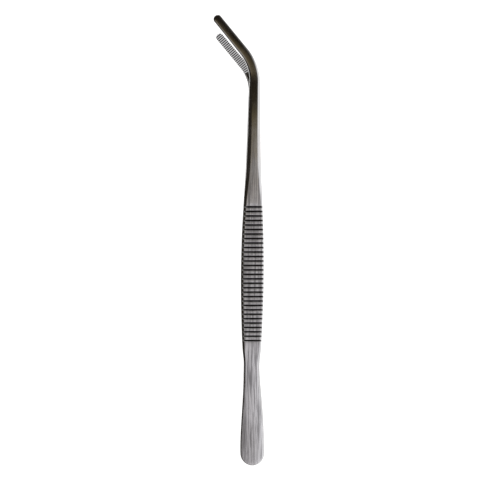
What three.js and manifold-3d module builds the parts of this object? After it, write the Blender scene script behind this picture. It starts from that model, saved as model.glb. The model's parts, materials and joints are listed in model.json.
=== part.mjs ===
// Print tongs for a darkroom: two long stainless blades, welded together at the heel, whose own
// spring holds the jaws open. The grip is ridged across, and the jaws are bent to one side and
// serrated on the faces that meet.
//
// Millimetres. +Y runs from the heel to the jaws, +X is to the right, +Z is up. The tongs lie on
// the flat ridges of the lower blade. Each blade is drawn closed, along a distance s from its heel
// end, and is then swung open about the place where its thin spring stretch bends.

import * as THREE from "three";
import { mergeVertices } from "three/addons/utils/BufferGeometryUtils.js";
import Module from "manifold-3d";

const wasm = await Module();
wasm.setup();

// Opening of the blades at rest, each side of the middle plane
const OPENING = THREE.MathUtils.degToRad(4.5);

// Lengths along a blade
const HEEL_RADIUS = 6.9;
const HINGE_AT = 28;
const SPLIT_GAP = 0.4;
const WELD_LENGTH = 22;
const GRIP_START = 73.8;
const GRIP_END = 151.4;
const BEND_START = 216.6;
const BEND_RADIUS = 25;
const BEND_ANGLE = THREE.MathUtils.degToRad(40.3);
const JAW_STRAIGHT = 24.5;
const BEND_LENGTH = BEND_RADIUS * BEND_ANGLE;
const BEND_END = BEND_START + BEND_LENGTH;
const TIP = BEND_END + JAW_STRAIGHT;
const TIP_RADIUS = 1.9;
const END_TRIM = 0.1;

// Longest facets along the plain stretches, and the plain steel left beside a row of grooves
const HEEL_SPACING = 5.5;
const SPRING_SPACING = 4;
const SHANK_SPACING = 7.5;
const BEND_SPACING = 3;
const GROOVE_MARGIN = 0.6;
const GRIP_MARGIN = 0.8;

// Angles of the facets round the heel end, from its middle
const HEEL_FACETS = [20, 35, 50, 65, 80];

// Ridges across the grip, and teeth across the jaws
const RIDGES = { grooves: 31, pitch: 2.48, first: 75.25, width: 1.4, depth: 0.55 };
const TEETH = { grooves: 24, pitch: 1.22, lastFromTip: 29.0, width: 0.8, depth: 0.32 };

// Space between the closed jaws and heels, half of it on each side of the middle plane
const FACE_GAP = 0.15;

// Slopes along the outer edges, broken inner edges, and how much of a narrow end each may take
const BEVEL_STEEPNESS = 0.8;
const INNER_EDGE = 0.2;
const BEVEL_SHARE = 0.6;
const EDGE_SHARE = 0.3;

const WELD_RADIUS = 0.6;
const WELD_CLEARANCE = 0.3;
const WELD_SIDES = 8;
const WELD_STEPS = 36;

// Straight part of the inner face, from the grip to the shank, converging on the middle plane
const GRIP_TAPER = 0.033;
const GRIP_FACE = 5.4;
const GRIP_THICKNESS = 2.8;

const SATIN_STEEL = { color: 0x9a989c, roughness: 0.35, metalness: 1 };
const WELD_STEEL = { color: 0x8b8886, roughness: 0.5, metalness: 1 };

function taperedFace(s) {
  return GRIP_FACE - GRIP_TAPER * (s - GRIP_START);
}

// A smooth curve through [distance, value] pairs
function through(pairs) {
  const distances = pairs.map((pair) => pair[0]);
  const values = pairs.map((pair) => pair[1]);
  const curve = new THREE.CubicInterpolant(distances, values, 1);
  return (s) => curve.evaluate(s)[0];
}

const bladeWidth = through([
  [0, 13.6], [13, 13.8], [26, 12.7], [38, 11.1], [49, 9.7], [61, 8.9], [71, 10.5],
  [88, 11.9], [106, 12.6], [130, 12.1], [151, 10.3], [168, 8.4], [190, 7.0], [212, 6.0],
  [224, 5.15], [236, 4.75], [TIP, 4.45],
]);

// The drawn-out blade leans a little to the right towards its jaw
const lean = through([
  [0, 0], [36, 0], [60, -0.5], [100, -0.3], [150, 0.1], [212, 0.85], [TIP, 1.5],
]);

const innerFace = through([
  [0, FACE_GAP], [20, FACE_GAP], [26, FACE_GAP + 0.1], [46, 2.0], [61, 4.5], [68.5, 5.28],
  [GRIP_START - 1, taperedFace(GRIP_START - 1)], [GRIP_START, taperedFace(GRIP_START)],
  [GRIP_START + 2, taperedFace(GRIP_START + 2)],
  [GRIP_END, taperedFace(GRIP_END)], [200, taperedFace(200)], [212, 0.6],
  [222, FACE_GAP], [TIP, FACE_GAP],
]);

const thickness = through([
  [0, 2.0], [20, 1.95], [40, 1.7], [60, 1.8], [68.5, 2.5], [GRIP_START - 1, GRIP_THICKNESS],
  [GRIP_START, GRIP_THICKNESS], [GRIP_START + 2, GRIP_THICKNESS], [GRIP_END, GRIP_THICKNESS],
  [GRIP_END + 2, GRIP_THICKNESS], [174, 2.5], [212, 2.3], [236, 2.1], [TIP, 1.5],
]);

const bevelWidth = through([
  [0, 0.5], [30, 0.7], [60, 1.0], [78, 1.5], [152, 1.4], [212, 1.1], [226, 0.5], [TIP, 0.35],
]);

// Half width at a distance, rounded off at the heel end and at the tip
function halfWidth(s) {
  const toHeel = Math.max(HEEL_RADIUS - s, 0);
  const toTip = Math.max(s - (TIP - TIP_RADIUS), 0);
  const heelRound = Math.sqrt(HEEL_RADIUS ** 2 - toHeel ** 2) / HEEL_RADIUS;
  const tipRound = Math.sqrt(TIP_RADIUS ** 2 - toTip ** 2) / TIP_RADIUS;
  return (bladeWidth(s) / 2) * heelRound * tipRound;
}

// Centre line seen from above: a straight handle, a round bend to the left, a straight jaw
function centreLine(s) {
  const turn = THREE.MathUtils.clamp(s - BEND_START, 0, BEND_LENGTH) / BEND_RADIUS;
  const past = Math.max(s - BEND_END, 0);
  return {
    turn,
    x: lean(s) - BEND_RADIUS * (1 - Math.cos(turn)) - past * Math.sin(turn),
    y: Math.min(s, BEND_START) + BEND_RADIUS * Math.sin(turn) + past * Math.cos(turn),
  };
}

// Stations are the distances at which the blade's section is set, with the depth of the groove
// that is cut there in its outer face (the ridges) or its inner face (the teeth)
function plainStations(from, to, spacing) {
  const count = Math.ceil((to - from) / spacing);
  return Array.from({ length: count + 1 }, (_, i) => ({ s: from + ((to - from) * i) / count }));
}

function grooveStations({ grooves, pitch, first, width, depth }, face) {
  const stations = [];
  for (let i = 0; i < grooves; i += 1) {
    const middle = first + i * pitch;
    stations.push({ s: middle - width / 2 });
    stations.push({ s: middle, [face]: depth });
    stations.push({ s: middle + width / 2 });
  }
  return stations;
}

function roundHeelStations() {
  return HEEL_FACETS.map((angle) => {
    return { s: HEEL_RADIUS * (1 - Math.cos(THREE.MathUtils.degToRad(angle))) };
  });
}

function sorted(stations) {
  return stations.sort((a, b) => a.s - b.s);
}

function heelStations() {
  return sorted([
    { s: END_TRIM },
    ...roundHeelStations(),
    ...plainStations(HEEL_RADIUS, HINGE_AT - SPLIT_GAP / 2, HEEL_SPACING),
  ]);
}

function armStations() {
  const ridges = grooveStations(RIDGES, "outer");
  const teeth = grooveStations({ ...TEETH, first: TIP - TEETH.lastFromTip }, "inner");
  const beforeGrip = ridges[0].s - GROOVE_MARGIN;
  const afterGrip = ridges.at(-1).s + GRIP_MARGIN;
  const beforeTeeth = teeth[0].s - GROOVE_MARGIN;
  return sorted([
    ...plainStations(HINGE_AT + SPLIT_GAP / 2, beforeGrip, SPRING_SPACING),
    ...ridges,
    ...plainStations(afterGrip, BEND_START, SHANK_SPACING),
    ...plainStations(BEND_START + BEND_SPACING, beforeTeeth, BEND_SPACING),
    ...teeth,
    { s: TIP - END_TRIM },
  ]);
}

// The section is drawn on a 3 x 3 grid with its corners cut; columns and rows then spread to size
function gridSection() {
  const corners = [[1, 0], [2, 0], [3, 1], [3, 2], [2, 3], [1, 3], [0, 2], [0, 1]];
  return new THREE.Shape(corners.map(([column, row]) => new THREE.Vector2(column, row)));
}

// side is 1 for the upper blade and -1 for the lower one
function placeCorner(side, station, column, row) {
  const { s, outer = 0, inner = 0 } = station;
  const half = halfWidth(s);
  const bevel = Math.min(bevelWidth(s), half * BEVEL_SHARE);
  const edge = Math.min(INNER_EDGE, half * EDGE_SHARE);
  const insetOfRow = [edge, 0, 0, bevel];
  const bottom = innerFace(s) + inner;
  const top = innerFace(s) + thickness(s) - outer;
  const heightOfRow = [bottom, bottom + edge, top - bevel * BEVEL_STEEPNESS, top];
  const across = -side * Math.sign(column - 1.5) * (half - insetOfRow[row]);
  const { x, y, turn } = centreLine(s);
  return [
    x + across * Math.cos(turn),
    y + across * Math.sin(turn),
    side * heightOfRow[row],
  ];
}

function bladeStretch(side, stations) {
  const lengths = stations.length - 1;
  const geometry = new THREE.ExtrudeGeometry(gridSection(), {
    depth: lengths,
    steps: lengths,
    bevelEnabled: false,
  });
  const position = geometry.getAttribute("position");
  for (let i = 0; i < position.count; i += 1) {
    const station = stations[Math.round(position.getZ(i))];
    const column = Math.round(position.getX(i));
    const row = Math.round(position.getY(i));
    position.setXYZ(i, ...placeCorner(side, station, column, row));
  }
  geometry.deleteAttribute("uv");
  geometry.computeVertexNormals();
  return geometry;
}

// The weld runs round the rim of the heel, in the seam between the two blades
class HeelRim extends THREE.Curve {
  getPoint(t, target = new THREE.Vector3()) {
    const straight = WELD_LENGTH - HEEL_RADIUS;
    const arc = Math.PI * HEEL_RADIUS;
    const run = t * (2 * straight + arc);
    const angle = THREE.MathUtils.clamp((run - straight) / HEEL_RADIUS, 0, Math.PI);
    const s = HEEL_RADIUS * (1 - Math.sin(angle))
      + Math.max(straight - run, 0) + Math.max(run - straight - arc, 0);
    const half = s < HEEL_RADIUS ? HEEL_RADIUS : bladeWidth(s) / 2;
    const inset = WELD_RADIUS / half;
    const y = s < HEEL_RADIUS ? s + WELD_RADIUS * Math.sin(angle) : s;
    return target.set(half * (1 - inset) * Math.cos(angle), y, 0);
  }
}

function weldBead(radius) {
  const section = new THREE.Shape();
  section.absarc(0, 0, radius, 0, Math.PI * 2);
  return new THREE.ExtrudeGeometry(section, {
    extrudePath: new HeelRim(),
    steps: WELD_STEPS,
    curveSegments: WELD_SIDES / 2,
    bevelEnabled: false,
  });
}

function toSolid(geometry) {
  const bare = geometry.clone();
  bare.deleteAttribute("normal");
  bare.deleteAttribute("uv");
  const merged = mergeVertices(bare);
  return new wasm.Manifold(new wasm.Mesh({
    numProp: 3,
    vertProperties: merged.getAttribute("position").array,
    triVerts: Uint32Array.from(merged.getIndex().array),
  }));
}

function toGeometry(solid) {
  const mesh = solid.getMesh();
  const geometry = new THREE.BufferGeometry();
  geometry.setAttribute("position", new THREE.BufferAttribute(mesh.vertProperties, 3));
  geometry.setIndex(new THREE.BufferAttribute(mesh.triVerts, 1));
  geometry.computeVertexNormals();
  return geometry;
}

// Each heel has a round-bottomed groove along its inner rim, which the weld fills
function heelGeometry(side) {
  const plain = toSolid(bladeStretch(side, heelStations()));
  const groove = toSolid(weldBead(WELD_RADIUS + WELD_CLEARANCE));
  return toGeometry(plain.subtract(groove));
}

function part(name, geometry, finish) {
  const mesh = new THREE.Mesh(geometry, new THREE.MeshStandardMaterial(finish));
  mesh.name = name;
  return mesh;
}

// A blade in front of its heel, swung open about the middle of its own thickness
function openArm(name, side) {
  const height = side * (innerFace(HINGE_AT) + thickness(HINGE_AT) / 2);
  const mesh = part(name, bladeStretch(side, armStations()), SATIN_STEEL);
  mesh.position.set(0, -HINGE_AT, -height);
  const arm = new THREE.Group();
  arm.position.set(0, HINGE_AT, height);
  arm.rotation.x = side * OPENING;
  arm.add(mesh);
  return arm;
}

function buildTongs() {
  const blades = new THREE.Group();
  blades.add(part("upper_heel", heelGeometry(1), SATIN_STEEL));
  blades.add(part("lower_heel", heelGeometry(-1), SATIN_STEEL));
  blades.add(part("heel_weld", weldBead(WELD_RADIUS), WELD_STEEL));
  blades.add(openArm("upper_arm", 1));
  blades.add(openArm("lower_arm", -1));

  // The ridges of the lower blade lie level, and the origin is under the middle of the tongs
  blades.rotation.x = OPENING - Math.atan(GRIP_TAPER);
  const tongs = new THREE.Group();
  tongs.add(blades);
  const box = new THREE.Box3().setFromObject(tongs, true);
  const middle = box.getCenter(new THREE.Vector3());
  blades.position.set(-middle.x, -middle.y, -box.min.z);
  return tongs;
}

const tongs = buildTongs();

export default tongs;
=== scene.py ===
"""Print tongs for a darkroom: the looks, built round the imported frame.

Two long stainless blades are welded together at the heel, and their own spring holds the bent,
serrated jaws apart. Each blade is forged here from one round bar, from its heel to its jaw, so
that the steel is whole where the frame has a hinge for the spring.

Sizes are in millimetres, along a distance from the heel end, and turn into the frame's metres as
each piece is placed.
"""

import json
import logging
import math
from bisect import bisect_right
from dataclasses import dataclass
from enum import Enum

import bmesh
import bpy
import numpy as np
from mathutils import Matrix, Vector


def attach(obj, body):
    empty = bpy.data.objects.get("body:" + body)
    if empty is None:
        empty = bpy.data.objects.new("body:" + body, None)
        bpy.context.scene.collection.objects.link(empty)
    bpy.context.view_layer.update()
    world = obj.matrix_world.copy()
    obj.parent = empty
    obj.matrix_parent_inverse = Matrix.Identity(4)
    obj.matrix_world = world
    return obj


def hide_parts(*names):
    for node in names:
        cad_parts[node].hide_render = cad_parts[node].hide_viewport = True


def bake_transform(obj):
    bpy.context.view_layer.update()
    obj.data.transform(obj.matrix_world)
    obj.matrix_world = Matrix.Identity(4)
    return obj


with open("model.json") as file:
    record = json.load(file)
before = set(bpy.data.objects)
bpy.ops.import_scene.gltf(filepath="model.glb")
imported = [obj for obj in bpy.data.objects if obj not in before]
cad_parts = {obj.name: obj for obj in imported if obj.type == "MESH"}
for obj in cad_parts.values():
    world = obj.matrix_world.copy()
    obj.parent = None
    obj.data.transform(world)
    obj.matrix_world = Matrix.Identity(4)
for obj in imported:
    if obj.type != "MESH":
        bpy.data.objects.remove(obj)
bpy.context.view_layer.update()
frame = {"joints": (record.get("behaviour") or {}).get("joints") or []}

log = logging.getLogger("print_tongs")

MM = 0.001

# What a blade's points carry for its finish: a place in the steel in millimetres, then shares of
# groove (on the jaw's inner face, of dark residue and painted shade), of rubbed edge with a painted
# highlight, and of ground slope.
RUN = "blade_run"
RELIEF = "blade_relief"
EDGE = "blade_edge"
SLOPE = "blade_slope"


# ------------------------ curves and small geometry

@dataclass(frozen=True)
class SmoothCurve:
    """A smooth curve through points of distance and value, level beyond both ends."""

    points: tuple[tuple[float, float], ...]

    def at(self, distance: float) -> float:
        """Value of the curve at a distance.

        Args:
            distance: Where to read the curve, in millimetres.

        Returns:
            The value there, in the points' own unit.
        """
        xs, ys = zip(*self.points)
        if distance <= xs[0]:
            return ys[0]
        if distance >= xs[-1]:
            return ys[-1]
        i = bisect_right(xs, distance) - 1
        before, after = max(i - 1, 0), min(i + 2, len(xs) - 1)
        span = xs[i + 1] - xs[i]
        leave = (ys[i + 1] - ys[before]) / (xs[i + 1] - xs[before]) * span
        arrive = (ys[after] - ys[i]) / (xs[after] - xs[i]) * span
        t = (distance - xs[i]) / span
        return (
            (2 * t**3 - 3 * t**2 + 1) * ys[i]
            + (t**3 - 2 * t**2 + t) * leave
            + (3 * t**2 - 2 * t**3) * ys[i + 1]
            + (t**3 - t**2) * arrive
        )


def soft_ramp(value: float, softness: float) -> float:
    """Zero below 0 and the value above it, rounded off over the softness."""
    return (value + math.sqrt(value * value + softness * softness)) / 2


def soft_low(a: float, b: float, softness: float) -> float:
    """The lower of two heights, rounded off where they meet."""
    return b - soft_ramp(b - a, softness)


def smoothstep(t: float) -> float:
    """Eases from 0 to 1 as t goes from 0 to 1."""
    t = min(max(t, 0.0), 1.0)
    return t * t * (3 - 2 * t)


class Side(Enum):
    """Which of the two blades, and which way its outer face points."""

    UPPER = 1
    LOWER = -1


# ------------------------ where the frame puts things

@dataclass(frozen=True)
class Stand:
    """How the drawn, closed tongs stand open in the frame, read from its two joints."""

    hinge_at: float = 28.0
    bend_from: float = 22.0
    bend_to: float = 58.0

    def pivot(self, side: Side) -> Vector:
        """Finds the pivot of one blade's joint.

        Args:
            side: The blade.

        Returns:
            The pivot, in metres.
        """
        name = {Side.UPPER: "upper_blade_flex", Side.LOWER: "lower_blade_flex"}[side]
        joint = next(j for j in frame["joints"] if j["name"] == name)
        return Vector(joint["pos_m"])

    def opening(self) -> float:
        """Angle by which each blade stands open at rest, in radians."""
        return math.radians(frame["joints"][0]["range_deg"][1])

    def middle(self) -> Matrix:
        """Places the middle plane between the blades.

        Returns:
            The move into the frame from drawn metres, with the hinge line at y = 0.
        """
        upper, lower = self.pivot(Side.UPPER), self.pivot(Side.LOWER)
        lift = upper - lower
        tilt = math.atan2(-lift.y, lift.z)
        return Matrix.Translation((upper + lower) / 2) @ Matrix.Rotation(tilt, 4, "X")

    def place(self, side: Side, points: np.ndarray) -> np.ndarray:
        """Bends drawn points of one blade open and puts them in the frame.

        Args:
            side: The blade that the points are on.
            points: Rows of x, distance and height in millimetres, drawn closed.

        Returns:
            Rows of x, y and z in metres, in the frame.
        """
        height = (self.pivot(Side.UPPER) - self.pivot(Side.LOWER)).length / 2 * side.value
        t = np.clip((points[:, 1] - self.bend_from) / (self.bend_to - self.bend_from), 0, 1)
        angle = self.opening() * side.value * t * t * (3 - 2 * t)
        y = (points[:, 1] - self.hinge_at) * MM
        z = points[:, 2] * MM - height
        turned = np.column_stack((
            points[:, 0] * MM,
            y * np.cos(angle) - z * np.sin(angle),
            y * np.sin(angle) + z * np.cos(angle) + height,
        ))
        middle = np.array(self.middle())
        return turned @ middle[:3, :3].T + middle[:3, 3]

    def spring_ends(self, side: Side) -> tuple[Vector, Vector]:
        """Finds where on the middle plane a blade starts and stops bending.

        Args:
            side: The blade.

        Returns:
            The two points, in metres.
        """
        ends = np.array([[0.0, self.bend_from, 0.0], [0.0, self.bend_to, 0.0]])
        placed = self.place(side, ends)
        return Vector(placed[0]), Vector(placed[1])


# ------------------------ the blade's drawn shape

END_ANGLES = range(4, 92, 8)
GROOVE_STEPS = (0.0, 0.12, 0.3, 0.6, 0.82, 0.93, 1.03, 1.18)
OUTER_INSETS = (0.0, 0.1, 0.28, 0.5, 0.72, 0.88, 1.0, 1.12, 1.35)
INNER_INSETS = (0.0, 0.5, 1.0, 1.8)
MIDDLE_SHARES = (-0.78, -0.52, -0.26, 0.0, 0.26, 0.52, 0.78)
LEAST_GAP = 0.02


@dataclass(frozen=True)
class Grooves:
    """A row of equal V-shaped grooves with round bottoms, cut across a blade.

    Each groove has a wall on the heel's side of its bottom and one on the jaw's side.
    """

    count: int
    pitch: float
    first: float
    heel_wall: float
    jaw_wall: float
    depth: float
    root_radius: float
    lip: float

    def offset(self, distance: float) -> float:
        """Measures how far a distance is past the middle of the nearest groove.

        Args:
            distance: Where along the blade, in millimetres.

        Returns:
            Millimetres past it, below 0 on the heel's side.
        """
        index = round((distance - self.first) / self.pitch)
        index = min(max(index, 0), self.count - 1)
        return distance - (self.first + index * self.pitch)

    def floor(self, distance: float) -> float:
        """Height of the cut against the uncut face.

        Args:
            distance: Where along the blade, in millimetres.

        Returns:
            The height, below 0 inside a groove.
        """
        offset = self.offset(distance)
        wall = self.heel_wall if offset < 0 else self.jaw_wall
        slope = self.depth / (wall - self.root_radius / 2)
        away = math.hypot(offset, self.root_radius) - self.root_radius
        return away * slope - self.depth

    def stations(self) -> list[float]:
        """Lists distances that follow the rounded section of every groove.

        Returns:
            The distances, groove by groove.
        """
        walls = (-self.heel_wall, self.jaw_wall)
        offsets = sorted({step * wall for step in GROOVE_STEPS for wall in walls})
        return [self.first + i * self.pitch + offset for i in range(self.count) for offset in offsets]


@dataclass(frozen=True)
class SectionPoint:
    """One corner of the blade's section, with what its finish needs to know."""

    across: float
    height: float
    relief: float
    edge: float
    slope: float


@dataclass(frozen=True)
class BladeShape:
    """Sizes of one blade as it is drawn, closed, with its outer face up."""

    heel_radius: float = 6.9
    bend_start: float = 216.6
    bend_radius: float = 25.0
    bend_angle: float = math.radians(40.3)
    jaw_straight: float = 24.5
    tip_radius: float = 1.9
    end_trim: float = 0.03
    edge_band: float = 0.35
    edge_wear_and_highlight: float = 0.5
    corner_drop: float = 0.1
    first_round: int = 32
    ridges: Grooves = Grooves(31, 2.48, 75.3, 0.62, 0.62, 0.7, 0.08, 0.04)
    steep_residue_shade: float = 3.0
    flat_residue_shade: float = 0.6
    grip_taper: float = 0.033
    grip_start: float = 73.8
    grip_end: float = 151.4
    grip_face: float = 5.4
    even_thickness: float = 2.2
    inner_softness: float = 0.06
    outer_bevel_limit: float = 0.6
    inner_bevel_limit: float = 0.3
    past_heel_end: float = 1.5
    before_ridges: float = 1.2
    past_bend_start: float = 1.0
    before_teeth: float = 0.7
    heel_gap: float = 2.0
    shank_gap: float = 3.5
    bend_gap: float = 0.9

    @property
    def bend_end(self) -> float:
        """Distance at which the bend runs into the straight jaw."""
        return self.bend_start + self.bend_radius * self.bend_angle

    @property
    def tip(self) -> float:
        """Distance of the jaw's tip, which is the blade's whole length."""
        return self.bend_end + self.jaw_straight

    @property
    def teeth(self) -> Grooves:
        """The serrations across the jaw's inner face."""
        return Grooves(24, 1.22, self.tip - 29.0, 0.34, 0.8, 0.36, 0.03, 0.02)

    def width(self) -> SmoothCurve:
        """Full width seen from above."""
        return SmoothCurve((
            (0, 13.6), (13, 13.8), (26, 12.7), (38, 11.1), (49, 9.7), (61, 8.9), (71, 10.5),
            (88, 11.9), (106, 12.6), (130, 12.1), (151, 10.3), (168, 8.4), (190, 7.0),
            (212, 6.0), (224, 5.15), (236, 4.75), (self.tip, 4.45),
        ))

    def lean(self) -> SmoothCurve:
        """How far the drawn-out blade strays to the right."""
        return SmoothCurve((
            (0, 0), (36, 0), (60, -0.5), (100, -0.3), (150, 0.1), (212, 0.85), (self.tip, 1.5),
        ))

    def tapered(self, distance: float) -> float:
        """Height of the straight inner face from the grip to the shank."""
        return self.grip_face - self.grip_taper * (distance - self.grip_start)

    def inner_face(self) -> SmoothCurve:
        """Height of the inner face over the middle plane."""
        start = self.grip_start
        return SmoothCurve((
            (0, 0.04), (20, 0.04), (26, 0.2), (46, 2.0), (61, 4.5), (68.5, 5.28),
            (start - 1, self.tapered(start - 1)), (start, self.tapered(start)),
            (start + 2, self.tapered(start + 2)), (self.grip_end, self.tapered(self.grip_end)),
            (200, self.tapered(200)), (212, 0.6), (222, 0.15), (self.tip, 0.15),
        ))

    def thickness(self) -> SmoothCurve:
        """Thickness of the steel."""
        return SmoothCurve((
            (0, 2.0), (20, 1.98), (40, 1.7), (60, 1.8), (68.5, 2.5), (self.grip_start - 1, 2.8),
            (self.grip_start, 2.8), (self.grip_start + 2, 2.8), (self.grip_end, 2.8),
            (self.grip_end + 2, 2.8), (174, 2.5), (212, 2.3), (236, 2.1), (self.tip, 1.5),
        ))

    def depth(self, height: float, distance: float) -> float:
        """How deep in the steel a height is, as if the blade were evenly thick."""
        share = (height - self.inner_face().at(distance)) / self.thickness().at(distance)
        return share * self.even_thickness

    def bevel(self) -> SmoothCurve:
        """Width of the slope ground along the left side of the outer face."""
        return SmoothCurve((
            (0, 0.6), (30, 0.75), (60, 1.05), (78, 1.5), (152, 1.5), (170, 2.1), (190, 1.95),
            (212, 1.4), (220, 1.0), (234, 0.45), (self.tip, 0.35),
        ))

    def right_share(self) -> SmoothCurve:
        """How wide the slope is on the right, as a share of the left one."""
        return SmoothCurve((
            (0, 1), (58, 1), (76, 0.5), (154, 0.5), (172, 0.62), (212, 0.7), (self.tip, 1),
        ))

    def bevel_fall(self) -> SmoothCurve:
        """How steeply that slope falls: height lost over its width."""
        return SmoothCurve(((0, 0.4), (40, 0.44), (150, 0.46), (172, 0.72), (self.tip, 0.72)))

    def crown(self) -> SmoothCurve:
        """How much lower the outer face is at its sides than in the middle."""
        return SmoothCurve(((0, 0.46), (40, 0.42), (66, 0.12), (self.tip, 0.06)))

    def softness(self) -> SmoothCurve:
        """Radius at which that slope runs into the outer face."""
        return SmoothCurve(((0, 0.7), (34, 0.6), (60, 0.2), (212, 0.16), (self.tip, 0.3)))

    def inner_bevel(self) -> SmoothCurve:
        """Width of the broken inner edge, opened for the weld round the heel."""
        return SmoothCurve(((0, 0.5), (20, 0.5), (23, 0.14), (self.tip, 0.12)))

    def end_share(self, distance: float) -> tuple[float, float]:
        """How far into a rounded end a distance is, and that end's radius.

        Args:
            distance: Where along the blade, in millimetres.

        Returns:
            A share from 0, outside both ends, to 1 at the very end, and the end's radius.
        """
        if distance < self.heel_radius:
            return (self.heel_radius - distance) / self.heel_radius, self.heel_radius
        start = self.tip - self.tip_radius
        if distance > start:
            return (distance - start) / self.tip_radius, self.tip_radius
        return 0.0, self.heel_radius

    def half_width(self, distance: float) -> float:
        """Half the blade's width, rounded off at both ends."""
        share, _ = self.end_share(distance)
        return self.width().at(distance) / 2 * math.sqrt(max(1 - share * share, 0))

    def rim_distance(self, across: float, distance: float) -> float:
        """Measures from a point of the face to the blade's outline.

        Args:
            across: Its place across the blade.
            distance: Its place along the blade.

        Returns:
            The shortest way to the outline, in millimetres.
        """
        full = self.width().at(distance) / 2
        share, radius = self.end_share(distance)
        if share == 0:
            return full - abs(across)
        return (1 - math.hypot(across / full, share)) * min(full, radius)

    def centre_line(self, distance: float) -> tuple[float, float, float]:
        """Centre line from above: straight handle, round bend to the left, straight jaw.

        Args:
            distance: Where along the blade, in millimetres.

        Returns:
            x and y in millimetres and the angle turned, in radians.
        """
        run = min(max(distance - self.bend_start, 0), self.bend_end - self.bend_start)
        turn = run / self.bend_radius
        past = max(distance - self.bend_end, 0)
        x = -self.bend_radius * (1 - math.cos(turn)) - past * math.sin(turn)
        y = min(distance, self.bend_start) + self.bend_radius * math.sin(turn)
        return x + self.lean().at(distance), y + past * math.cos(turn), turn

    def outer_point(self, across: float, distance: float, half: float) -> SectionPoint:
        """Finds a point of the crowned, bevelled outer face, with the grip's grooves cut in it.

        Args:
            across: Its place across the blade.
            distance: Its place along the blade.
            half: Half the blade's width there.

        Returns:
            The point and what its finish needs.
        """
        top = self.inner_face().at(distance) + self.thickness().at(distance)
        share = self.right_share().at(distance) if across > 0 else 1.0
        bevel = self.bevel().at(distance) * share
        rim = self.rim_distance(across, distance)
        slope = soft_ramp(bevel - rim, self.softness().at(distance)) * self.bevel_fall().at(distance)
        full = self.width().at(distance) / 2
        uncut = top - slope - self.crown().at(distance) * (across / full) ** 2
        cut = soft_low(uncut, top + self.ridges.floor(distance), self.ridges.lip)
        if abs(across) >= half:
            cut -= self.corner_drop
        relief = min(max(uncut - cut, 0) / self.ridges.depth, 1)
        # A thin band along the bevel's edge turns lighter: wear and a painted highlight.
        edge = self.edge_wear_and_highlight * (1 - min(abs(rim - bevel) / self.edge_band, 1.0))
        return SectionPoint(across, cut, relief, edge, smoothstep((bevel - rim) / self.edge_band))

    def inner_point(self, across: float, distance: float) -> SectionPoint:
        """Finds a point of the inner face, with the jaw's teeth cut in it.

        Args:
            across: Its place across the blade.
            distance: Its place along the blade.

        Returns:
            The point and what its finish needs.
        """
        face = self.inner_face().at(distance)
        broken = self.inner_bevel().at(distance)
        rim = self.rim_distance(across, distance)
        uncut = face + soft_ramp(broken - rim, self.inner_softness)
        teeth = self.teeth
        cut = -soft_low(-uncut, -face + teeth.floor(distance), teeth.lip)
        share = max(cut - uncut, 0) / teeth.depth
        # Dark residue and painted shade in the teeth, far heavier on each groove's wall on the heel's
        # side.
        residue_shade = share * (self.steep_residue_shade if teeth.offset(distance) < 0 else self.flat_residue_shade)
        # Painted highlight on the tooth crests, carried as rubbed edge.
        crest = 1 - min(share, 1) if distance > teeth.first - teeth.pitch else 0.0
        return SectionPoint(across, cut, min(residue_shade, 1), crest, 0.0)

    def section(self, distance: float) -> list[SectionPoint]:
        """Draws the closed section at a distance.

        Args:
            distance: Where along the blade, in millimetres.

        Returns:
            Its points, over the outer face from left to right and back along the inner face.
        """
        half = self.half_width(distance)
        slope = min(self.bevel().at(distance), half * self.outer_bevel_limit)
        broken = min(self.inner_bevel().at(distance), half * self.inner_bevel_limit)
        outer = spread(half, slope, OUTER_INSETS)
        inner = spread(half, broken, INNER_INSETS)
        over = [self.outer_point(a, distance, half) for a in outer]
        under = [self.inner_point(a, distance) for a in reversed(inner)]
        return over + [between(over[-1], under[0])] + under + [between(under[-1], over[0])]

    def stations(self) -> list[float]:
        """Lists the distances of the rings, close together where the shape changes quickly.

        Returns:
            Sorted distances, whose number of gaps is a multiple of first_round.
        """
        ends = [math.cos(math.radians(angle)) for angle in END_ANGLES]
        heel = [self.heel_radius * (1 - share) for share in ends]
        tip = [self.tip - self.tip_radius * (1 - share) for share in ends]
        cuts = self.ridges.stations() + self.teeth.stations()
        stretches = (
            (self.heel_radius + self.past_heel_end, self.ridges.first - self.before_ridges,
             self.heel_gap),
            (self.ridges.first + self.ridges.pitch * self.ridges.count, self.bend_start,
             self.shank_gap),
            (self.bend_start + self.past_bend_start, self.teeth.first - self.before_teeth,
             self.bend_gap),
        )
        plain = [distance for stretch in stretches for distance in even(*stretch)]
        inside = [s for s in heel + tip + cuts + plain if self.end_trim < s < self.tip - self.end_trim]
        return spaced(sorted([self.end_trim, *inside, self.tip - self.end_trim]), self.first_round)


def spread(half: float, bevel: float, insets: tuple[float, ...]) -> list[float]:
    """Places across a face, close together at both edges.

    Args:
        half: Half the face's width.
        bevel: Width of the slope along its edges.
        insets: Places in from each edge, as shares of the bevel.

    Returns:
        The places from left to right.
    """
    right = [half - inset * bevel for inset in insets]
    middle = [share * right[-1] for share in MIDDLE_SHARES]
    return [-place for place in right] + middle + right[::-1]


def between(a: SectionPoint, b: SectionPoint) -> SectionPoint:
    """The point halfway down a side wall."""
    return SectionPoint((a.across + b.across) / 2, (a.height + b.height) / 2, 0.0, 0.0, 1.0)


def even(start: float, stop: float, gap: float) -> list[float]:
    """Evenly spaced distances, no further apart than the gap."""
    count = math.ceil((stop - start) / gap)
    return [start + (stop - start) * i / count for i in range(count + 1)]


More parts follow.
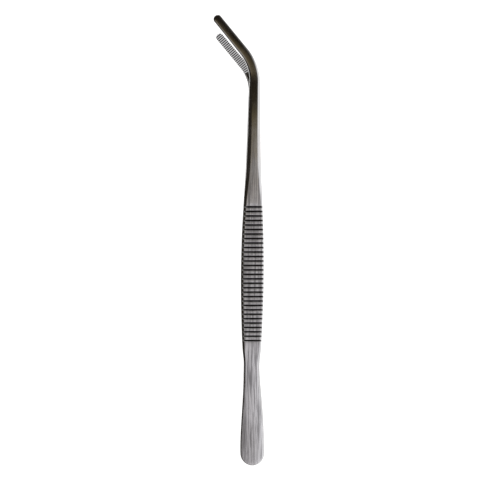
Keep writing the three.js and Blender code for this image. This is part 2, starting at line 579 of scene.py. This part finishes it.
def spaced(distances: list[float], multiple: int) -> list[float]:
    """Drops distances that crowd each other, then splits the widest gaps to fill up the number.

    Args:
        distances: Sorted distances.
        multiple: The number of gaps returned is a multiple of this.

    Returns:
        Sorted distances.
    """
    kept = [distances[0]]
    for distance in distances[1:-1]:
        if distance - kept[-1] > LEAST_GAP and distances[-1] - distance > LEAST_GAP:
            kept.append(distance)
    kept.append(distances[-1])
    while (len(kept) - 1) % multiple:
        widest = max(range(len(kept) - 1), key=lambda i: kept[i + 1] - kept[i])
        kept.insert(widest + 1, (kept[widest] + kept[widest + 1]) / 2)
    return kept


# ------------------------ modelling helpers

STRAIGHT = 0.999


def deselect_all() -> None:
    """Leaves object mode with nothing selected."""
    if bpy.context.object and bpy.context.object.mode != "OBJECT":
        bpy.ops.object.mode_set(mode="OBJECT")
    bpy.ops.object.select_all(action="DESELECT")


def only(piece: bpy.types.Object) -> None:
    """Makes one piece the only selected one, and the active one.

    Args:
        piece: The piece.
    """
    deselect_all()
    piece.select_set(True)
    bpy.context.view_layer.objects.active = piece


def select_lengthwise(mesh: bpy.types.Mesh) -> None:
    """Selects the edges that run straight along Z, in edit mode.

    Args:
        mesh: The mesh being edited.
    """
    bpy.ops.mesh.select_mode(type="EDGE")
    bpy.ops.mesh.select_all(action="DESELECT")
    edited = bmesh.from_edit_mesh(mesh)
    for edge in edited.edges:
        span = edge.verts[1].co - edge.verts[0].co
        edge.select_set(abs(span.z) > STRAIGHT * span.length)
    bmesh.update_edit_mesh(mesh)


def finish_mesh(piece: bpy.types.Object, smooth_angle: float) -> None:
    """Turns a piece's faces outwards and shades it smooth below an angle.

    Args:
        piece: The piece.
        smooth_angle: Sharper edges than this stay sharp, in radians.
    """
    only(piece)
    bpy.ops.object.mode_set(mode="EDIT")
    bpy.ops.mesh.select_all(action="SELECT")
    bpy.ops.mesh.normals_make_consistent(inside=False)
    bpy.ops.object.mode_set(mode="OBJECT")
    bpy.ops.object.shade_smooth_by_angle(angle=smooth_angle)


def dress(piece: bpy.types.Object, material: bpy.types.Material) -> None:
    """Gives a piece one material."""
    piece.data.materials.clear()
    piece.data.materials.append(material)


# ------------------------ the pieces

@dataclass
class Blade:
    """One whole blade: welded heel, spring stretch, ridged grip, shank and serrated jaw."""

    side: Side
    shape: BladeShape
    stand: Stand
    smooth_angle: float = math.radians(40)

    @property
    def name(self) -> str:
        """Name of the finished piece."""
        return {Side.UPPER: "upper_blade", Side.LOWER: "lower_blade"}[self.side]

    def bar(self, columns: int, gaps: int) -> bpy.types.Object:
        """A round bar in lengthwise strips, cut into equal rings ready for forging.

        Args:
            columns: Points round the bar.
            gaps: Spaces between its rings.

        Returns:
            The bar, standing on the origin along +Z, one unit between its rings.
        """
        deselect_all()
        bpy.ops.mesh.primitive_cylinder_add(
            vertices=columns, radius=1, depth=gaps, end_fill_type="NGON",
            location=(0, 0, gaps / 2),
        )
        bar = bpy.context.object
        bpy.ops.object.transform_apply(location=True, rotation=False, scale=False)
        bpy.ops.object.mode_set(mode="EDIT")
        # One round makes 100 cuts at most, so the rings come in two rounds.
        first = self.shape.first_round
        for parts in (first, gaps // first):
            select_lengthwise(bar.data)
            bpy.ops.mesh.subdivide(number_cuts=parts - 1)
        bpy.ops.object.mode_set(mode="OBJECT")
        return bar

    def build(self) -> bpy.types.Object:
        """Forges the bar to the blade's sections and bends it open.

        Returns:
            The blade, in place.
        """
        stations = self.shape.stations()
        sections = [self.shape.section(s) for s in stations]
        columns = len(sections[0])
        blade = self.bar(columns, len(stations) - 1)
        blade.name = blade.data.name = self.name
        mesh = blade.data
        drawn = np.zeros((len(mesh.vertices), 3))
        run = np.zeros((len(mesh.vertices), 3))
        shares = np.zeros((3, len(mesh.vertices)))
        for i, vertex in enumerate(mesh.vertices):
            ring = round(vertex.co.z)
            column = round(math.atan2(vertex.co.x, vertex.co.y) / (2 * math.pi) * columns) % columns
            point = sections[ring][column]
            x, y, turn = self.shape.centre_line(stations[ring])
            drawn[i] = (
                x + point.across * math.cos(turn),
                y + point.across * math.sin(turn),
                point.height * self.side.value,
            )
            run[i] = (point.across, stations[ring], self.shape.depth(point.height, stations[ring]))
            shares[:, i] = point.relief, point.edge, point.slope
        placed = self.stand.place(self.side, drawn)
        mesh.vertices.foreach_set("co", placed.ravel())
        mesh.update()
        mesh.attributes.new(RUN, "FLOAT_VECTOR", "POINT").data.foreach_set("vector", run.ravel())
        for name, values in zip((RELIEF, EDGE, SLOPE), shares):
            mesh.attributes.new(name, "FLOAT", "POINT").data.foreach_set("value", values)
        finish_mesh(blade, self.smooth_angle)
        log.info("%s: %d rings of %d points", self.name, len(stations), columns)
        return blade

    def fit(self, blade: bpy.types.Object, steel: bpy.types.Material) -> None:
        """Dresses the blade and hides the frame's arm and heel pieces that it stands in for.

        Args:
            blade: The finished blade.
            steel: Its material.
        """
        dress(blade, steel)
        nodes = {
            Side.UPPER: ("upper_arm", "upper_heel"),
            Side.LOWER: ("lower_arm", "lower_heel"),
        }[self.side]
        start, end = self.stand.spring_ends(self.side)
        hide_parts(*nodes)
        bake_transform(blade)


@dataclass
class WeldSeam:
    """The weld that joins the blades, a ground bead round the rim of the heel."""

    shape: BladeShape
    stand: Stand
    reach: float = 21.0
    half_height: float = 0.5
    half_depth: float = 0.45
    inset: float = 0.44
    points: int = 16
    arc_steps: int = 40
    side_steps: int = 10
    smooth_angle: float = math.radians(60)

    def side_x(self, distance: float) -> float:
        """Distance of the bead's middle from the centre line."""
        return self.shape.half_width(distance) - self.inset

    def extrude_to(self, start: float, stop: float, hand: int) -> None:
        """Draws the selected end of the bead along one straight side of the heel.

        Args:
            start: Distance that it starts from, in millimetres.
            stop: Distance that it ends at.
            hand: 1 for the right side and -1 for the left.
        """
        gap = (stop - start) / self.side_steps
        for i in range(self.side_steps):
            here, there = start + i * gap, start + (i + 1) * gap
            shift = hand * (self.side_x(there) - self.side_x(here))
            bpy.ops.mesh.extrude_region_move(
                TRANSFORM_OT_translate={"value": (shift * MM, (there - here) * MM, 0)}
            )

    def build(self) -> bpy.types.Object:
        """Draws the bead down one side of the heel, round its end and up the other side.

        Returns:
            The bead, in place.
        """
        radius = self.shape.heel_radius
        deselect_all()
        bpy.ops.mesh.primitive_circle_add(
            vertices=self.points, radius=self.half_height * MM, fill_type="NGON",
            location=(self.side_x(self.reach) * MM, self.reach * MM, 0),
            rotation=(math.pi / 2, 0, 0),
        )
        bead = bpy.context.object
        bead.name = bead.data.name = "heel_weld_bead"
        bpy.ops.object.transform_apply(location=True, rotation=True, scale=True)
        bpy.ops.object.mode_set(mode="EDIT")
        bpy.ops.mesh.select_all(action="SELECT")
        bpy.ops.transform.resize(
            value=(self.half_depth / self.half_height, 1, 1),
            center_override=(self.side_x(self.reach) * MM, self.reach * MM, 0),
        )
        self.extrude_to(self.reach, radius, 1)
        bpy.ops.mesh.spin(
            steps=self.arc_steps, angle=-math.pi, center=(0, radius * MM, 0), axis=(0, 0, 1),
        )
        self.extrude_to(radius, self.reach, -1)
        bpy.ops.mesh.select_all(action="SELECT")
        bpy.ops.mesh.remove_doubles(threshold=0.01 * MM)
        bpy.ops.object.mode_set(mode="OBJECT")
        bead.matrix_world = self.stand.middle() @ Matrix.Translation((0, -self.stand.hinge_at * MM, 0))
        only(bead)
        bpy.ops.object.transform_apply(location=True, rotation=True, scale=True)
        finish_mesh(bead, self.smooth_angle)
        log.info("%s: %d faces", bead.name, len(bead.data.polygons))
        return bead

    def fit(self, bead: bpy.types.Object, steel: bpy.types.Material) -> None:
        """Dresses the bead and fixes it to the heel.

        Args:
            bead: The finished bead.
            steel: Its material.
        """
        dress(bead, steel)
        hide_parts("heel_weld")
        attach(bead, "heel")


# ------------------------ shader node helpers

FLOAT = "NodeSocketFloat"
VECTOR = "NodeSocketVector"
Value = float | tuple[float, ...] | bpy.types.NodeSocket


def socket_of(sockets: bpy.types.NodeInputs, key: str | int) -> bpy.types.NodeSocket:
    """Finds a socket.

    Args:
        sockets: A node's inputs.
        key: The socket's number, identifier or name.

    Returns:
        The socket.
    """
    if isinstance(key, int):
        return sockets[key]
    return next((s for s in sockets if s.identifier == key), None) or sockets[key]


def add(tree: bpy.types.NodeTree, kind: str, inputs: dict[str | int, Value] | None = None,
        **settings: object) -> bpy.types.Node:
    """Adds a node, sets it and feeds it.

    Args:
        tree: The tree that it goes in.
        kind: The node's type, without its ShaderNode prefix.
        inputs: What each input holds: a plain value, or another node's output.
        **settings: The node's own properties.

    Returns:
        The new node.
    """
    node = tree.nodes.new("ShaderNode" + kind)
    for name, value in settings.items():
        setattr(node, name, value)
    for key, value in (inputs or {}).items():
        socket = socket_of(node.inputs, key)
        if isinstance(value, bpy.types.NodeSocket):
            tree.links.new(value, socket)
        else:
            socket.default_value = value
    return node


def math_node(tree: bpy.types.NodeTree, operation: str, *values: Value) -> bpy.types.NodeSocket:
    """The result of a math node on one to three values."""
    return add(tree, "Math", dict(enumerate(values)), operation=operation).outputs[0]


def eased(tree: bpy.types.NodeTree, value: Value, start: float, stop: float,
          low: float = 0.0, high: float = 1.0) -> bpy.types.NodeSocket:
    """Eases from low to high as the value goes from start to stop.

    Args:
        tree: The tree that it is in.
        value: What is read.
        start: The value at which it leaves low.
        stop: The value at which it reaches high.
        low: What it gives at the start.
        high: What it gives at the stop.

    Returns:
        The eased value.
    """
    node = add(tree, "MapRange", {
        "Value": value, "From Min": start, "From Max": stop, "To Min": low, "To Max": high,
    }, interpolation_type="SMOOTHSTEP")
    return node.outputs[0]


def blend_colour(tree: bpy.types.NodeTree, factor: Value, a: Value, b: Value) -> bpy.types.NodeSocket:
    """Mixes two colours.

    Args:
        tree: The tree that they are in.
        factor: 0 for the first colour and 1 for the second.
        a: The first colour.
        b: The second colour.

    Returns:
        The mixed colour.
    """
    node = add(tree, "Mix", {
        "Factor_Float": factor, "A_Color": a, "B_Color": b,
    }, data_type="RGBA")
    return next(s for s in node.outputs if s.identifier == "Result_Color")


def blend_value(tree: bpy.types.NodeTree, factor: Value, a: Value, b: Value) -> bpy.types.NodeSocket:
    """Mixes two values."""
    node = add(tree, "Mix", {"Factor_Float": factor, "A_Float": a, "B_Float": b}, data_type="FLOAT")
    return next(s for s in node.outputs if s.identifier == "Result_Float")


def new_group(name: str, inputs: dict[str, str], outputs: tuple[str, ...],
              ) -> tuple[bpy.types.NodeTree, bpy.types.Node, bpy.types.Node]:
    """Starts a shader node group.

    Args:
        name: The group's name.
        inputs: The kind of each of its inputs, by name.
        outputs: The names of its outputs, which are all floats.

    Returns:
        The tree, its input node and its output node.
    """
    tree = bpy.data.node_groups.new(name, "ShaderNodeTree")
    for socket, kind in inputs.items():
        tree.interface.new_socket(socket, in_out="INPUT", socket_type=kind)
    for socket in outputs:
        tree.interface.new_socket(socket, in_out="OUTPUT", socket_type=FLOAT)
    return tree, tree.nodes.new("NodeGroupInput"), tree.nodes.new("NodeGroupOutput")


def new_material(name: str) -> tuple[bpy.types.Material, bpy.types.NodeTree, bpy.types.Node]:
    """Starts a material.

    Args:
        name: Its name.

    Returns:
        The material, its tree and its shader.
    """
    material = bpy.data.materials.new(name)
    material.use_nodes = True
    return material, material.node_tree, material.node_tree.nodes["Principled BSDF"]


COARSE_SCRATCHES = 0.16
FINE_SCRATCHES = 0.6
FINE_SHARE = 0.4
STREAK_SPAN = (0.42, 0.58)
PATCH_SPAN = (0.38, 0.68)
RESIDUE_SHADE_SPAN = (0.3, 0.54)
RAGGED_SCALE = 1.3
RAGGED_SHARE = 0.12


def ground_grain() -> bpy.types.NodeTree:
    """Builds the group of long scratches left by a grinding belt that runs along the blade.

    Returns:
        The group, with a mask of the streaks and their height.
    """
    tree, ins, outs = new_group(
        "ground_grain", {"Run": VECTOR, "Fineness": FLOAT, "Stretch": FLOAT}, ("Streak", "Height"),
    )
    scale = add(tree, "CombineXYZ", {
        "X": ins.outputs["Fineness"],
        "Y": math_node(tree, "MULTIPLY", ins.outputs["Fineness"], ins.outputs["Stretch"]),
        "Z": ins.outputs["Fineness"],
    })
    place = add(tree, "VectorMath", {0: ins.outputs["Run"], 1: scale.outputs[0]}, operation="MULTIPLY")
    coarse = add(tree, "TexNoise", {
        "Vector": place.outputs[0], "Scale": COARSE_SCRATCHES, "Detail": 2.0, "Roughness": 0.6,
    })
    fine = add(tree, "TexNoise", {
        "Vector": place.outputs[0], "Scale": FINE_SCRATCHES, "Detail": 4.0, "Roughness": 0.8,
    })
    both = blend_value(tree, FINE_SHARE, coarse.outputs["Fac"], fine.outputs["Fac"])
    tree.links.new(eased(tree, both, *STREAK_SPAN), outs.inputs["Streak"])
    tree.links.new(both, outs.inputs["Height"])
    return tree


def handling_marks() -> bpy.types.NodeTree:
    """Builds the group of soft patches where hands and chemicals have dulled the steel.

    Returns:
        The group, with a mask of the patches.
    """
    tree, ins, outs = new_group("handling_marks", {"Run": VECTOR, "Size": FLOAT}, ("Mask",))
    scale = math_node(tree, "DIVIDE", 1.0, ins.outputs["Size"])
    noise = add(tree, "TexNoise", {
        "Vector": ins.outputs["Run"], "Scale": scale, "Detail": 3.0, "Roughness": 0.55,
        "Distortion": 0.6,
    })
    tree.links.new(eased(tree, noise.outputs["Fac"], *PATCH_SPAN), outs.inputs["Mask"])
    return tree


def groove_residue_and_shade() -> bpy.types.NodeTree:
    """Builds the group of dark residue and painted shade in the bottoms of grooves.

    Returns:
        The group, with a mask of the residue and painted shade.
    """
    tree, ins, outs = new_group("groove_residue_and_shade", {"Run": VECTOR, "Relief": FLOAT}, ("Mask",))
    noise = add(tree, "TexNoise", {
        "Vector": ins.outputs["Run"], "Scale": RAGGED_SCALE, "Detail": 3.0,
    })
    ragged = blend_value(tree, RAGGED_SHARE, ins.outputs["Relief"], noise.outputs["Fac"])
    tree.links.new(eased(tree, ragged, *RESIDUE_SHADE_SPAN), outs.inputs["Mask"])
    return tree


# ------------------------ finishes

@dataclass(frozen=True)
class SteelGroups:
    """The effects that the steels share."""

    grain: bpy.types.NodeTree
    marks: bpy.types.NodeTree
    residue_shade: bpy.types.NodeTree


@dataclass(frozen=True)
class BladeSteel:
    """Stainless steel, satin ground along the handle and polished towards the jaw, with dark residue
    and painted shade in its grooves and a painted highlight on its rubbed edges and tooth crests.
    """

    bright: tuple[float, float, float, float] = (0.8, 0.79, 0.8, 1)
    dull: tuple[float, float, float, float] = (0.35, 0.342, 0.35, 1)
    polished: tuple[float, float, float, float] = (0.6, 0.59, 0.575, 1)
    rubbed_and_highlight: tuple[float, float, float, float] = (0.9, 0.89, 0.89, 1)
    residue_and_shade: tuple[float, float, float, float] = (0.012, 0.008, 0.007, 1)
    satin_roughness: float = 0.34
    polished_roughness: float = 0.1
    groove_roughness: float = 0.2
    bump_depth: float = 0.012 * MM
    slope_polish: float = 0.75
    polish_from: float = 150.0
    polish_to: float = 212.0
    fineness: float = 10.5
    stretch: float = 0.025
    patch_size: float = 11.0
    streak_shine: float = -0.09
    patch_dulling: float = 0.07
    polished_patch_dulling: float = 0.05
    groove_span: tuple[float, float] = (0.02, 0.2)
    residue_shade_roughness: float = 0.45
    residue_shade_metal: float = 0.2
    polished_bump: float = 0.12

    def make(self, groups: SteelGroups) -> bpy.types.Material:
        """Builds the material.

        Args:
            groups: The shared effects.

        Returns:
            The material, which reads the blade's own attributes.
        """
        material, tree, shader = new_material("satin_stainless")
        run = add(tree, "Attribute", attribute_name=RUN).outputs["Vector"]
        relief, edge, slope = (
            add(tree, "Attribute", attribute_name=name).outputs["Fac"] for name in (RELIEF, EDGE, SLOPE)
        )
        along = add(tree, "SeparateXYZ", {0: run}).outputs["Y"]
        shank = eased(tree, along, self.polish_from, self.polish_to)
        ground = math_node(tree, "MULTIPLY", slope, self.slope_polish)
        polish = math_node(tree, "MAXIMUM", shank, ground)
        grain = add(tree, "Group", {
            "Run": run, "Fineness": self.fineness, "Stretch": self.stretch,
        }, node_tree=groups.grain)
        patches = add(
            tree, "Group", {"Run": run, "Size": self.patch_size}, node_tree=groups.marks,
        ).outputs["Mask"]
        residue_shade = add(
            tree, "Group", {"Run": run, "Relief": relief}, node_tree=groups.residue_shade,
        ).outputs["Mask"]

        satin = blend_colour(tree, grain.outputs["Streak"], self.dull, self.bright)
        worked = blend_colour(tree, polish, satin, self.polished)
        # Painted highlight on tooth crests, and wear with a painted highlight along the bevel's edge: a
        # lighter colour.
        clean = blend_colour(tree, edge, worked, self.rubbed_and_highlight)
        # Groove bottoms turn near black: dark residue and painted shade.
        tree.links.new(blend_colour(tree, residue_shade, clean, self.residue_and_shade), shader.inputs["Base Color"])

        streaked = math_node(
            tree, "MULTIPLY_ADD", grain.outputs["Streak"], self.streak_shine, self.satin_roughness,
        )
        marked = math_node(tree, "MULTIPLY_ADD", patches, self.patch_dulling, streaked)
        polished = math_node(
            tree, "MULTIPLY_ADD", patches, self.polished_patch_dulling, self.polished_roughness,
        )
        in_groove = eased(tree, relief, *self.groove_span)
        satin_rough = blend_value(tree, in_groove, marked, self.groove_roughness)
        smooth = blend_value(tree, polish, satin_rough, polished)
        rough = blend_value(tree, residue_shade, smooth, self.residue_shade_roughness)
        tree.links.new(rough, shader.inputs["Roughness"])

        strength = blend_value(tree, polish, 1.0, self.polished_bump)
        bump = add(tree, "Bump", {
            "Strength": 1.0,
            "Distance": self.bump_depth,
            "Height": math_node(tree, "MULTIPLY", grain.outputs["Height"], strength),
        })
        tree.links.new(bump.outputs[0], shader.inputs["Normal"])
        metal = blend_value(tree, residue_shade, 1.0, self.residue_shade_metal)
        tree.links.new(metal, shader.inputs["Metallic"])
        return material


@dataclass(frozen=True)
class WeldSteel:
    """Weld metal, ground flush but still a little duller and straw-tinted by the heat."""

    metal: tuple[float, float, float, float] = (0.52, 0.5, 0.48, 1)
    heat_tint: tuple[float, float, float, float] = (0.42, 0.35, 0.27, 1)
    roughness: float = 0.42
    ripple_depth: float = 0.02 * MM
    ripple_roughness: float = 0.16
    ripple_scale: float = 2.2
    patch_size: float = 3.0

    def make(self, groups: SteelGroups) -> bpy.types.Material:
        """Builds the material, on Object coordinates.

        Args:
            groups: The shared effects.

        Returns:
            The material.
        """
        material, tree, shader = new_material("weld_metal")
        shader.inputs["Metallic"].default_value = 1.0
        place = add(tree, "TexCoord").outputs["Object"]
        in_mm = add(tree, "VectorMath", {0: place, "Scale": 1 / MM}, operation="SCALE").outputs[0]
        patches = add(
            tree, "Group", {"Run": in_mm, "Size": self.patch_size}, node_tree=groups.marks,
        ).outputs["Mask"]
        ripple = add(tree, "TexNoise", {
            "Vector": in_mm, "Scale": self.ripple_scale, "Detail": 3.0,
        })
        colour = blend_colour(tree, patches, self.metal, self.heat_tint)
        tree.links.new(colour, shader.inputs["Base Color"])
        rough = math_node(
            tree, "MULTIPLY_ADD", ripple.outputs["Fac"], self.ripple_roughness,
            self.roughness - self.ripple_roughness / 2,
        )
        tree.links.new(rough, shader.inputs["Roughness"])
        bump = add(tree, "Bump", {"Distance": self.ripple_depth, "Height": ripple.outputs["Fac"]})
        tree.links.new(bump.outputs[0], shader.inputs["Normal"])
        return material


# ------------------------ studio

@dataclass(frozen=True)
class SkyStop:
    """Light from one height: degrees from straight up, above 0 towards the heel."""

    angle: float
    colour: tuple[float, float, float]


@dataclass(frozen=True)
class SideCard:
    """A soft light beside the tongs: the way to it, how wide it is and how bright."""

    towards: tuple[float, float, float]
    full_within: float
    gone_at: float
    glow: tuple[float, float, float]


@dataclass
class Studio:
    """Plain pale floor, soft light from all round, and a camera that looks straight down."""

    floor_size: float = 6.0
    floor_colour: tuple[float, float, float, float] = (0.35, 0.35, 0.35, 1)
    floor_roughness: float = 0.9
    floor_glow: float = 1.1
    camera_height: float = 0.385
    clip_start: float = 0.01
    lens: float = 48.7
    sensor: float = 36.0
    centre_from_axis: float = -7.05
    centre_from_heel: float = 130.1
    left: tuple[float, float, float] = (0.025, 0.021, 0.016)
    left_span: tuple[float, float] = (-0.08, -0.66)
    right: tuple[float, float, float] = (0.9, 0.9, 0.92)
    right_span: tuple[float, float] = (0.07, 0.38)
    right_fade: tuple[float, float] = (0.12, 0.4)
    sky: tuple[SkyStop, ...] = (
        SkyStop(-90, (0.5, 0.5, 0.5)),
        SkyStop(-72, (0.8, 0.8, 0.8)),
        SkyStop(-58, (0.6, 0.595, 0.59)),
        SkyStop(-42, (0.12, 0.115, 0.105)),
        SkyStop(-28, (0.02, 0.018, 0.014)),
        SkyStop(-13, (0.022, 0.018, 0.013)),
        SkyStop(-6, (0.018, 0.014, 0.01)),
        SkyStop(-3, (0.07, 0.054, 0.03)),
        SkyStop(1, (0.19, 0.154, 0.095)),
        SkyStop(5, (0.4, 0.365, 0.31)),
        SkyStop(9, (0.62, 0.585, 0.58)),
        SkyStop(15, (0.51, 0.49, 0.49)),
        SkyStop(19, (0.42, 0.41, 0.425)),
        SkyStop(24, (0.5, 0.485, 0.5)),
        SkyStop(30, (0.74, 0.715, 0.73)),
        SkyStop(37, (0.72, 0.7, 0.715)),
        SkyStop(46, (0.66, 0.645, 0.66)),
        SkyStop(54, (0.56, 0.545, 0.56)),
        SkyStop(64, (0.14, 0.13, 0.13)),
        SkyStop(72, (0.03, 0.026, 0.02)),
        SkyStop(90, (0.025, 0.021, 0.016)),
    )
    card: SideCard = SideCard((1.0, 0.0, 0.22), 20, 45, (1.2, 1.2, 1.22))

    def overhead(self, tree: bpy.types.NodeTree, parts: bpy.types.Node) -> bpy.types.NodeSocket:
        """Light from above, which changes from the heel's side to the jaws' side.

        Args:
            tree: The world's tree.
            parts: The way looked in, split into X, Y and Z.

        Returns:
            Its colour.
        """
        towards_heel = math_node(tree, "MULTIPLY", parts.outputs["Y"], -1.0)
        angle = math_node(tree, "ARCTAN2", towards_heel, parts.outputs["Z"])
        share = math_node(tree, "MULTIPLY_ADD", angle, 1 / math.pi, 0.5)
        node = add(tree, "ValToRGB", {"Fac": share})
        ramp = node.color_ramp
        ramp.interpolation = "CARDINAL"
        while len(ramp.elements) < len(self.sky):
            ramp.elements.new(0.5)
        for element, stop in zip(ramp.elements, self.sky):
            element.position = stop.angle / 180 + 0.5
            element.color = (*stop.colour, 1)
        return node.outputs["Color"]

    def light(self) -> None:
        """Builds the world: soft light from all round, and a plain pale backdrop."""
        world = bpy.data.worlds.new("studio")
        bpy.context.scene.world = world
        world.use_nodes = True
        tree = world.node_tree
        way = add(tree, "TexCoord").outputs["Generated"]
        parts = add(tree, "SeparateXYZ", {0: way})
        total = self.overhead(tree, parts)
        across = parts.outputs["X"]
        total = blend_colour(tree, eased(tree, across, *self.left_span), total, (*self.left, 1))
        kept = eased(tree, parts.outputs["Y"], *self.right_fade, 1.0, 0.0)
        to_right = math_node(tree, "MULTIPLY", eased(tree, across, *self.right_span), kept)
        total = blend_colour(tree, to_right, total, (*self.right, 1))
        aim = Vector(self.card.towards).normalized()
        facing = add(tree, "VectorMath", {0: way, 1: tuple(aim)}, operation="DOT_PRODUCT")
        mask = eased(
            tree, facing.outputs["Value"], math.cos(math.radians(self.card.gone_at)),
            math.cos(math.radians(self.card.full_within)),
        )
        total = blend_colour(tree, mask, total, (*self.card.glow, 1))
        seen = add(tree, "LightPath").outputs["Is Camera Ray"]
        shown = blend_colour(tree, seen, total, (1.0, 1.0, 1.0, 1))
        tree.links.new(shown, tree.nodes["Background"].inputs["Color"])

    def floor(self) -> None:
        """Lays the plain pale floor that the tongs lie on."""
        deselect_all()
        bpy.ops.mesh.primitive_plane_add(size=self.floor_size, location=(0, 0, 0))
        floor = bpy.context.object
        floor.name = "pale_floor"
        material, _, shader = new_material("pale_floor")
        shader.inputs["Base Color"].default_value = self.floor_colour
        shader.inputs["Roughness"].default_value = self.floor_roughness
        shader.inputs["Specular IOR Level"].default_value = 0.0
        shader.inputs["Emission Color"].default_value = (1, 1, 1, 1)
        shader.inputs["Emission Strength"].default_value = self.floor_glow
        dress(floor, material)

    def camera(self, stand: Stand) -> None:
        """Hangs the camera over the tongs, looking straight down.

        Args:
            stand: Where the tongs stand.
        """
        axis = stand.middle() @ Vector((0, -stand.hinge_at * MM, 0))
        data = bpy.data.cameras.new("camera")
        data.lens = self.lens
        data.sensor_width = self.sensor
        data.clip_start = self.clip_start
        camera = bpy.data.objects.new("camera", data)
        bpy.context.scene.collection.objects.link(camera)
        camera.location = (
            axis.x + self.centre_from_axis * MM,
            axis.y + self.centre_from_heel * MM,
            self.camera_height,
        )
        bpy.context.scene.camera = camera

    def build(self, stand: Stand) -> None:
        """Sets up the camera, the light and the floor.

        Args:
            stand: Where the tongs stand.
        """
        self.camera(stand)
        self.light()
        self.floor()
        bpy.context.scene.view_settings.view_transform = "Standard"
        log.info("studio: %d sky stops", len(self.sky))


def main() -> None:
    """Builds the tongs and the studio round them."""
    logging.basicConfig(level=logging.INFO, format="%(name)s: %(message)s")
    stand = Stand()
    shape = BladeShape()
    Studio().build(stand)
    groups = SteelGroups(ground_grain(), handling_marks(), groove_residue_and_shade())
    blade_steel = BladeSteel().make(groups)
    for side in Side:
        blade = Blade(side, shape, stand)
        blade.fit(blade.build(), blade_steel)
    weld = WeldSeam(shape, stand)
    weld.fit(weld.build(), WeldSteel().make(groups))


if __name__ == "__main__":
    main()
